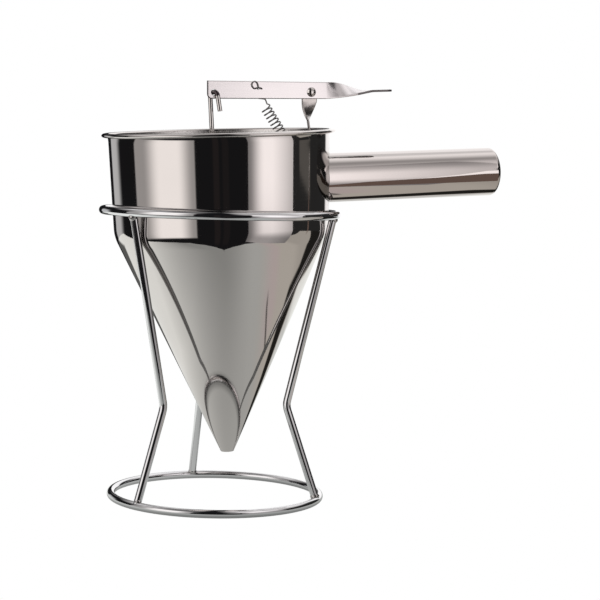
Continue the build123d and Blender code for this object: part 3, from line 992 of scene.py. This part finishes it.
# Pivot rivet
head_seat = half_strip + lever_side_gap
tail_seat = plate_back + half_strip
rivet_place = placed(pivot_point, hopper_along, -hopper_up, hopper_back)
dome_radius = (rivet_head_radius**2 + rivet_head_height**2) / (2 * rivet_head_height)
dome_centre = -head_seat - rivet_head_height + dome_radius
dome_edge = asin(rivet_head_radius / dome_radius)
rivet_outline = arc((0, dome_centre), dome_radius, -pi / 2, -pi / 2 + dome_edge, dome_steps)
rivet_outline[0].x = 0
rivet_outline += [(rivet_radius, -head_seat), (rivet_radius, tail_seat), (rivet_tail_radius, tail_seat)]
tail_top = tail_seat + rivet_tail_height
tail_round_centre = (rivet_tail_radius - rivet_tail_round, tail_top - rivet_tail_round)
rivet_outline += arc(tail_round_centre, rivet_tail_round, 0, pi / 2, tail_steps)
rivet_outline.append((0, tail_top))
rivet = turned("rivet", rivet_outline, rivet_place, rod_steel, around_small)
seat(rivet, "funnel", "strip_steel", "pivot_rivet")

# Stopper rod and plug
hook_reach = half_strip + hook_gap + rod_diameter / 2
hook_height = pivot_up - hook_along * sin(lever_droop) - hook_drop * cos(lever_droop)
plug_bottom = -cone_height + plug_nozzle_rise
plug_seat_top = plug_bottom + plug_seat_height
plug_top = plug_seat_top + plug_shoulder_height
plug_play = plug_clearance / cos(cone_half_angle)
rod_corners = [
    in_hopper(0, 0, plug_top - rod_socket_depth),
    in_hopper(-hook_offset - hook_skew, hook_reach, hook_height),
    in_hopper(-hook_offset + hook_skew, -hook_reach, hook_height),
    in_hopper(-hook_offset + hook_skew + hook_slant, -hook_reach, hook_height - hook_length),
]
rod = wire("hooked_rod", rod_corners, rod_steel, rod_diameter, hook_bend_radius)
# Painted shade on the hook's bend in front of the lever
hook_shade_start = hook_height - hook_shade_drop
also_in(rod, hook_shade_steel, into_hopper, lambda c, n: c.z > hook_shade_start and c.y < -half_strip)
seat(rod, "stopper", "rod_steel", "stopper_rod")

seat_edge = (cone_inside(plug_seat_top) - plug_play, plug_seat_top)
plug_outline = [(0, plug_bottom)]
plug_outline += run((cone_inside(plug_bottom) - plug_play, plug_bottom), seat_edge, plug_step)
plug_outline += run(seat_edge, (rod_diameter, plug_top), plug_step)
plug_outline += [(rod_diameter, plug_top), (0, plug_top)]
plug = turned("plug", plug_outline, hopper_place, rod_steel, around_small)
seat(plug, "stopper", "rod_steel", "stopper_plug")

# Return spring: lower hook in the bracket, coil, lead up behind the lever and a loop in front of it
coil_radius = (spring_outside - spring_wire) / 2
coil_top = lever_hole + hopper_along * spring_lead_shift - hopper_up * spring_lead_drop
coil_down = (bracket_hole - coil_top).normalized()
coil_bottom = bracket_hole - coil_down * spring_lower_lead
coil_side = hopper_back.cross(coil_down).normalized()
coil_pitch = (coil_bottom - coil_top).length / spring_turns


def coil_point(turn):
    """Place on the coil, in turns from its lower end."""
    a = 2 * pi * turn
    swing = coil_side * (coil_radius * cos(a)) - hopper_back * (coil_radius * sin(a))
    return coil_bottom - coil_down * (coil_pitch * turn) + swing


def smooth_line(points, count):
    """A smooth line through all these points, with count steps from each to the next."""
    whole = [points[0] * 2 - points[1], *points, points[-1] * 2 - points[-2]]
    line = []
    for before, start, end, after in zip(whole, whole[1:], whole[2:], whole[3:]):
        for k in range(count):
            t = k / count
            square = before * 2 - start * 5 + end * 4 - after
            cube = start * 3 - before - end * 3 + after
            line.append(start + ((end - before) * t + square * t**2 + cube * t**3) / 2)
    return line + [points[-1]]


off_strip = half_strip + spring_wire
behind_bracket = bracket_hole + hopper_along * off_strip
before_bracket = bracket_hole - hopper_along * off_strip
spring_points = [behind_bracket - hopper_up * drop for drop in (spring_hook_length, spring_hook_bend)]
spring_points += [bracket_hole, before_bracket, before_bracket.lerp(coil_point(0), 0.5)]
spring_points += [coil_point(k / steps_per_turn) for k in range(int(steps_per_turn * spring_turns) + 1)]
upper_lead = [(6.4, 1.3, -10.0), (6.0, 1.6, -8.7), (5.2, 1.6, -7.1), (2.6, 1.5, -6.6), (0.3, 1.45, -6.1),
              (-0.1, 1.4, -4.0), (0, 1.3, -1.0), (0, 0, 0)]
front_loop = [(-0.1, -1.3, 0.9), (-0.35, -1.3, 2.4), (-1.0, -1.3, 3.7), (-2.3, -1.3, 4.3), (-3.7, -1.3, 3.7),
              (-4.3, -1.3, 2.4), (-4.0, -1.3, 1.1), (-2.6, -1.4, -0.2), (-1.2, -1.9, 0.05), (0.1, -2.3, 0.35),
              (1.4, -2.0, 0.1), (2.3, -1.6, -0.6)]
for along, back, up in upper_lead + front_loop:
    spring_points.append(lever_hole + hopper_along * along + hopper_back * back + hopper_up * up)
spring_line = smooth_line(spring_points, smoothing_steps)
spring = wire("spring_coil", spring_line, spring_steel, spring_wire, around=around_spring)
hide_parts("return_spring")
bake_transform(spring)

# Studio: a pale floor, far lights, and a table top and sheets of light that only polished metal sees
camera_place = Vector((-335.4, -1063.6, 218.9))
camera_ahead = Vector((0.34361, 0.93567, -0.08033))
camera_up = Vector((0.00444, 0.08392, 0.99646))
camera_lens = 104.7
front_heading = atan2(camera_place.y, camera_place.x)
floor_reach = 30000.0
table_outline = [
    (-650, 900), (-470, 330), (-406, 111), (-358, -35), (-304, -135), (-236, -202), (-143, -217), (-85, -204),
    (-38, -173), (-12, -220), (43, -276), (139, -302), (232, -327), (358, -335), (521, -345), (757, -316),
    (1400, -420), (1400, 900),
]

# A soft box close to the right, and close in front of the handle a dark flag with a bright strip above it
box_heading = radians(-56)
box_centre = Vector((168, -249, 0))
box_across = Vector((-sin(box_heading), cos(box_heading), 0))
box_outline = [(-143, 2), (121, 2), (121, 262), (165, 285), (165, 480), (-143, 480)]
flag_distance = -60
flag_outline = [(88, 160), (240, 163), (240, 208), (200, 207.5), (165, 196.5), (115, 186.5), (88, 174)]
strip_outline = [(150, 193.5), (165, 196.5), (200, 207.5), (228, 208), (228, 223), (200, 219), (180, 206)]


def even_light(name, colour):
    """A surface of even light."""
    light = bpy.data.materials.new(name)
    light.use_nodes = True
    tree = light.node_tree
    tree.nodes.clear()
    glow = add_node(tree, "ShaderNodeEmission", {"Color": (*colour, 1)})
    add_node(tree, "ShaderNodeOutputMaterial", {"Surface": glow.outputs["Emission"]})
    return light


def seen_once(light, rest):
    """Leaves a light only this share of its strength in the reflection of a reflection."""
    tree = light.node_tree
    bounces = add_node(tree, "ShaderNodeLightPath").outputs["Glossy Depth"]
    feed(tree, tree.nodes["Emission"].inputs["Strength"], LightPlan(tree).ramp(bounces, 1, 2, 1.0, rest))
    return light


def soft_box_light():
    """Light of the soft box: brightest left of its middle, fading upwards."""
    light = even_light("soft_box_light", (1, 1, 1))
    tree = light.node_tree
    s = LightPlan(tree)
    across = s.along(box_across, box_centre)
    height = s.along((0, 0, 1), box_centre)
    edge = s.maths("MAXIMUM", s.ramp(across, -140, -50), s.ramp(height, 214, 226, 0.0, 0.85))
    face = s.maths("ADD", edge, 0.25)
    low = s.ramp(across, -140, -60, 0.75, 0.33)
    fade = s.times(
        s.ramp(height, 60, 190, low, 1.0),
        s.ramp(height, 255, 400, 1.0, 0.55),
        s.ramp(height, 380, 480, 1.0, 0.75),
    )
    corner = s.times(s.ramp(across, 124, 142), s.ramp(height, 258, 276), 1.1)
    side = s.maths("MAXIMUM", s.slope(across, -10, 110, 1.0, 0.55), corner)
    colour = s.tint(s.times(face, side, fade), (1.05, 1.0, 1.0))
    feed(tree, tree.nodes["Emission"].inputs["Color"], colour)
    return light


def table_light():
    """The table as the metal sees it: dim in front, white back left, warm right, dark under the handle."""
    light = even_light("table_top_light", (0.4, 0.4, 0.4))
    tree = light.node_tree
    s = LightPlan(tree)
    x, y = s.along((1, 0, 0)), s.along((0, 1, 0))
    rising = s.times(s.maths("MAXIMUM", s.maths("ADD", y, 160), 0), s.slope(x, -120, 60, 0.0025, 0.0))
    back = s.maths("MINIMUM", s.maths("ADD", rising, s.ramp(x, -40, 85, 0.31, 0.48)), 0.95)
    near = s.maths("ADD", s.slope(x, 165, 280, 50, 0), s.slope(x, 280, 340, 0, 34))
    far = s.maths("ADD", s.slope(x, 200, 265, 156, 122), s.slope(x, 363, 600, 0, 422))
    from_near, from_far = s.maths("SUBTRACT", y, near), s.maths("SUBTRACT", y, far)
    past = s.times(s.ramp(x, 90, 140), s.ramp(from_far, -10, 30))
    handle_shade = s.times(s.ramp(x, 70, 115), s.ramp(from_near, -9, 9), s.ramp(from_far, -18, 18, 1.0, 0.0))
    ring_shade = s.window(s.length(x, y), base_ring_radius - 5, base_ring_radius + 5, 3.5)
    from_edge = s.maths("SUBTRACT", y, s.ramp(x, -150, -40, 450, 332))
    falloff = s.times(s.ramp(from_edge, -17, 17), s.ramp(x, -255, -175), s.ramp(x, 150, 200, 1.0, 0.0))
    # Painted shadow: a thin dark stroke on the table, right of the base ring
    from_shade_stroke = s.maths("SUBTRACT", x, s.slope(y, -92, -33, 152, 163))
    shade_stroke = s.times(s.window(from_shade_stroke, -3.4, 3.4, 2.2), s.window(y, -108, -20, 12))
    bright = s.times(
        s.maths("MULTIPLY_ADD", past, s.ramp(x, 300, 360, 0.24, 0.65), back),
        s.less(handle_shade, 0.965),
        s.less(falloff, 0.88),
        s.less(ring_shade, 0.45),
        s.ramp(x, 270, 340, 1.0, 0.85),
        s.less(shade_stroke, 0.8),
    )
    warm = s.times(s.ramp(x, 90, 180), s.less(past))
    rosy = s.times(s.window(x, 130, 195, 20), s.ramp(y, -70, -20, 1.0, 0.0))
    colour = s.total(
        s.tint(s.times(bright, s.less(warm)), (1.0, 1.02, 0.99)),
        s.tint(s.times(bright, warm), (1.09, 1.03, 0.935)),
        s.tint(s.times(bright, warm, rosy), (0.03, -0.045, 0.03)),
    )
    feed(tree, tree.nodes["Emission"].inputs["Color"], colour)
    return light


def far_lights():
    """World light by heading to the right of the camera and by rise, in degrees; white to the camera."""
    world = bpy.data.worlds.new("studio")
    scene.world = world
    world.use_nodes = True
    tree = world.node_tree
    tree.nodes.clear()
    s = LightPlan(tree)
    way = add_node(tree, "ShaderNodeTexCoord").outputs["Generated"]
    turn = add_node(tree, "ShaderNodeVectorRotate", {
        "Vector": way, "Angle": -front_heading}, rotation_type="Z_AXIS")
    ahead, right, up = add_node(tree, "ShaderNodeSeparateXYZ", {"Vector": turn.outputs["Vector"]}).outputs
    heading = s.maths("DEGREES", s.maths("ARCTAN2", right, ahead))
    rise = s.maths("DEGREES", s.maths("ARCSINE", up))
    left_core = s.times(s.ramp(heading, -87, -64), s.ramp(heading, -45, -27, 1, 0))
    left_glow = s.maths("MULTIPLY_ADD", left_core, 0.78, 0.38)
    left_box = s.times(s.window(heading, -98.5, -25.4, 1), s.window(rise, -21, 42, 2.5), left_glow)
    left_back_side = s.times(s.ramp(heading, -152.5, -149.5), s.ramp(heading, -136.5, -125, 1, 0))
    left_back = s.times(left_back_side, s.window(rise, -20, 12, 6))
    backdrop = s.times(s.ramp(heading, 143, 150), s.window(rise, -30, 56, 10))
    right_wall = s.times(s.window(heading, 80, 150, 4), s.window(rise, -20, 25, 6))
    right_door = s.times(s.window(heading, 91, 108.5, 1.2), s.window(rise, -2.25, -0.6, 0.12))
    slit_side = s.maths("ADD", s.window(heading, -6.5, -0.5, 1), s.times(s.window(heading, 3, 9.5, 1), 0.6))
    brown_slits = s.times(slit_side, s.window(rise, -40, 20, 8))
    ceiling_side = s.maths("ADD", s.window(heading, 19, 140, 11), s.ramp(heading, -40, -15, 0.5, 0.0))
    ceiling = s.times(s.ramp(rise, 27, 36), s.ramp(rise, 46, 62, 1.0, 0.62), ceiling_side)
    overhead = s.ramp(s.maths("MULTIPLY_ADD", up, 0.866, s.times(ahead, -0.5)), 0.64, 0.96)
    front_gap = s.times(s.window(right, -0.45, 0.13, 0.08), s.ramp(ahead, -0.70, -0.52), 0.95)
    left_gap = s.times(s.window(heading, -166, -118, 6), s.window(rise, 8, 40, 6))
    overhead = s.times(overhead, s.less(s.maths("MAXIMUM", front_gap, left_gap)))
    room = s.total(
        s.tint(1.0, (0.010, 0.010, 0.011)),
        s.tint(left_box, (1.02, 0.98, 0.96)),
        s.tint(left_back, (0.56, 0.565, 0.57)),
        s.tint(right_wall, (0.014, 0.014, 0.013)),
        s.tint(right_door, (0.085, 0.078, 0.070)),
        s.tint(brown_slits, (0.009, 0.006, 0.005)),
        s.tint(ceiling, (0.58, 0.555, 0.55)),
        s.tint(s.maths("MAXIMUM", overhead, s.times(backdrop, 1.42)), (0.80, 0.79, 0.79)),
    )
    seen = add_node(tree, "ShaderNodeLightPath").outputs["Is Camera Ray"]
    mix = add_node(tree, "ShaderNodeMix", {"Factor": seen, "A": room, "B": (1, 1, 1, 1)}, data_type="RGBA")
    light = add_node(tree, "ShaderNodeBackground", {"Color": mix.outputs["Result"]})
    add_node(tree, "ShaderNodeOutputWorld", {"Surface": light.outputs["Background"]})


def stage_sheet(name, corners, light, seen_by_camera=False):
    """A flat sheet of the stage, with its corners in mm."""
    mesh = bpy.data.meshes.new(name)
    mesh.from_pydata([c * MM for c in corners], [], [tuple(range(len(corners)))])
    mesh.materials.append(light)
    sheet_piece = bpy.data.objects.new(name, mesh)
    scene.collection.objects.link(sheet_piece)
    sheet_piece.visible_camera = seen_by_camera
    sheet_piece.visible_glossy = not seen_by_camera
    sheet_piece.visible_diffuse = not seen_by_camera
    sheet_piece.visible_shadow = False


far_lights()
box_corners = [box_centre + box_across * across + Vector((0, 0, height)) for across, height in box_outline]
stage_sheet("soft_box", box_corners, soft_box_light())
flag_corners = [Vector((across, flag_distance, height)) for across, height in flag_outline]
flag_cloth = even_light("flag_cloth", (0.155, 0.108, 0.09))
stage_sheet("dark_flag", flag_corners, seen_once(flag_cloth, 0.15))
strip_corners = [Vector((across, flag_distance, height)) for across, height in strip_outline]
strip_light = even_light("strip_light", (1.3, 1.24, 1.24))
stage_sheet("bright_strip", strip_corners, seen_once(strip_light, 0.15))
floor_sides = ((-1, -1), (1, -1), (1, 1), (-1, 1))
floor_corners = [Vector((across, back, 0)) * floor_reach for across, back in floor_sides]
stage_sheet("floor", floor_corners, even_light("pale_floor", (1.0, 1.0, 1.0)), True)
table_corners = [Vector((across, back, 0)) for across, back in table_outline]
stage_sheet("table_top", table_corners, seen_once(table_light(), 0.4))

# Camera
camera_data = bpy.data.cameras.new("camera")
camera_data.sensor_width = 36.0
camera_data.lens = camera_lens
camera_data.clip_end = 100.0
camera = bpy.data.objects.new("camera", camera_data)
scene.collection.objects.link(camera)
camera_across = camera_ahead.cross(camera_up).normalized()
camera_top = camera_across.cross(camera_ahead)
camera.matrix_world = placed(camera_place * MM, camera_across, camera_top, -camera_ahead)
scene.camera = camera
scene.view_settings.view_transform = "Standard"
scene.view_settings.look = "None"
